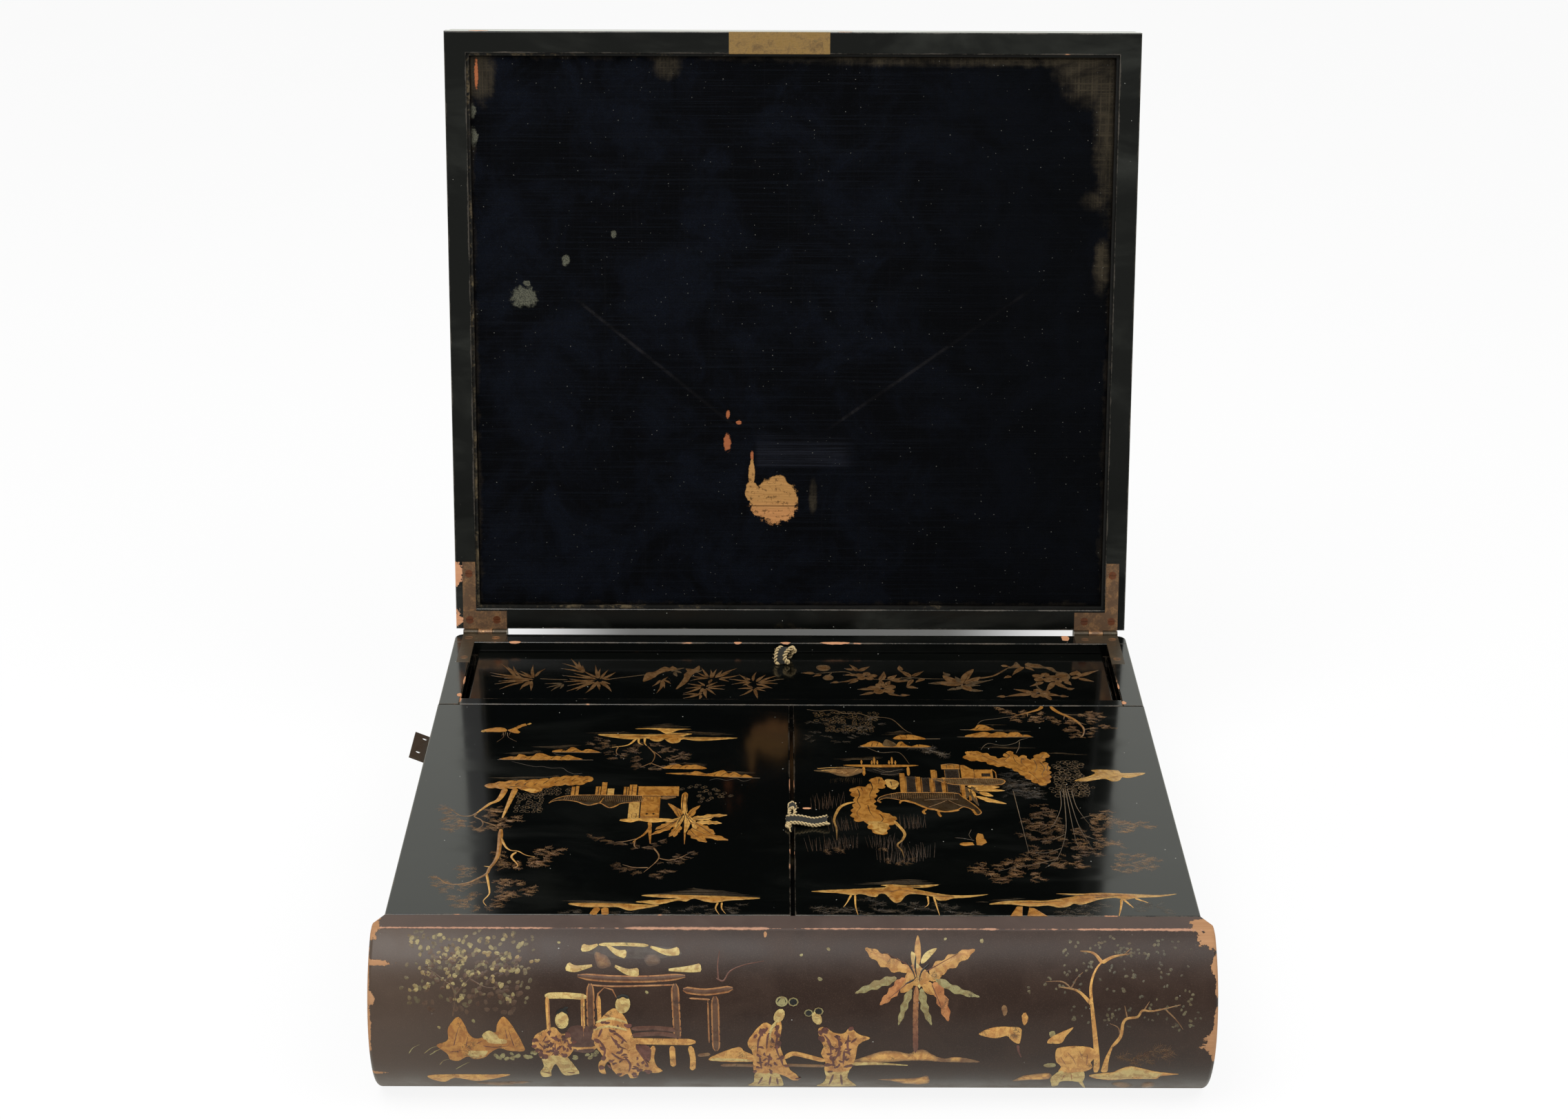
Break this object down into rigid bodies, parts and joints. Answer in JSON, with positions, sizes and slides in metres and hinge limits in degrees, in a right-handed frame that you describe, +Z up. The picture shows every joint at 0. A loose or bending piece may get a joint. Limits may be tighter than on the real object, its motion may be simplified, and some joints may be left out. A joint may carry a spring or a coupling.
{
  "type": "lacquer writing and ink box",
  "caption": "Low black lacquer writing box: velvet-lined hinged lid, gold-painted flaps over paper compartments and a lift-out strip lid over a well for brush, inkstone and water dropper.",
  "frame": {"origin": "centre of the carcase's underside, on the surface that the box stands on", "axes": "+X to the right as seen from the convex front, +Y from the front panel towards the lid hinges, +Z up"},
  "size_m": [0.4153, 0.466, 0.4397],
  "materials": {
    "case_lacquer": "black gloss lacquer, a little worn at the arrises",
    "well_lacquer": "black lacquer, satin",
    "panel_lacquer": "brown-black gloss lacquer with painted gold figures, chipped to bare wood at the corners",
    "flap_lacquer": "black gloss lacquer with painted gold landscapes",
    "strip_lacquer": "black gloss lacquer with painted gold sprays",
    "lid_lacquer": "black lacquer, semi-gloss, worn at the edges",
    "lid_core": "bare softwood",
    "velvet": "blue-black pile, faded brown at the edges and worn through in one spot",
    "bead": "worn gilt bead on black",
    "aged_brass": "dark aged brass",
    "plate_brass": "dull brass with a patina",
    "dropper_brass": "satin brass",
    "slate": "fine dark slate",
    "ribbon": "dark ribbon with twisted cream cords along both edges"
  },
  "bodies": {
    "case": {"bottom_board": "case_lacquer", "left_wall": "case_lacquer", "right_wall": "case_lacquer", "back_wall": "case_lacquer", "cross_wall": "case_lacquer", "centre_wall": "case_lacquer", "back_rail": "case_lacquer", "left_rail": "case_lacquer", "right_rail": "case_lacquer", "cross_rail": "case_lacquer", "front_panel": "panel_lacquer", "back_ledge": "well_lacquer", "front_ledge": "well_lacquer", "well_floor": "well_lacquer", "brush_cell_wall": "well_lacquer", "stone_cell_wall": "well_lacquer", "inkstone": "slate", "water_dropper": "dropper_brass", "left_case_hinge_leaf": "aged_brass", "right_case_hinge_leaf": "aged_brass", "left_lid_pin": "aged_brass", "right_lid_pin": "aged_brass", "case_hinge_screws": "aged_brass", "left_front_wall_leaf": "aged_brass", "right_front_wall_leaf": "aged_brass", "right_rear_wall_leaf": "aged_brass", "wall_leaf_screws": "aged_brass"},
    "lid": {"lid_board": "lid_lacquer", "lid_free_rim": "lid_lacquer", "lid_hinge_rim": "lid_lacquer", "lid_left_rim": "lid_lacquer", "lid_right_rim": "lid_lacquer", "velvet_backing": "lid_core", "velvet_field": "velvet", "velvet_bead": "bead", "strike_plate": "plate_brass", "strike_nails": "plate_brass", "left_lid_hinge_leaf": "aged_brass", "right_lid_hinge_leaf": "aged_brass", "lid_hinge_screws": "aged_brass"},
    "left_flap": {"left_flap": "flap_lacquer", "left_flap_tab": "ribbon", "left_flap_leaves": "aged_brass", "left_flap_screws": "aged_brass", "left_flap_pins": "aged_brass"},
    "right_flap": {"right_flap": "flap_lacquer", "right_flap_tab": "ribbon", "right_flap_leaves": "aged_brass", "right_flap_screws": "aged_brass", "right_flap_pins": "aged_brass"},
    "strip_lid": {"strip_lid": "strip_lacquer", "strip_lid_loop": "ribbon"},
    "loose_leaf": {"loose_hinge_leaf": "aged_brass"}
  },
  "joints": [
    {"name": "lid_hinge", "type": "hinge", "parent": "case", "child": "lid", "pos_m": [0, 0.1721, 0.09015], "axis": [-1, 0, 0], "range_deg": [-99.7, 0]},
    {"name": "left_flap_hinge", "type": "hinge", "parent": "case", "child": "left_flap", "pos_m": [-0.2002, 0, 0.08185], "axis": [0, -1, 0], "range_deg": [0, 105]},
    {"name": "right_flap_hinge", "type": "hinge", "parent": "case", "child": "right_flap", "pos_m": [0.2002, 0, 0.08185], "axis": [0, 1, 0], "range_deg": [0, 105]},
    {"name": "strip_lid_lift", "type": "slide", "parent": "case", "child": "strip_lid", "axis": [0, 0, 1], "range_m": [0, 0.04]},
    {"name": "loose_leaf_pivot", "type": "hinge", "parent": "left_flap", "child": "loose_leaf", "pos_m": [-0.2002, 0.0265, 0.08185], "axis": [0, 1, 0], "range_deg": [-114, 24]}
  ]
}
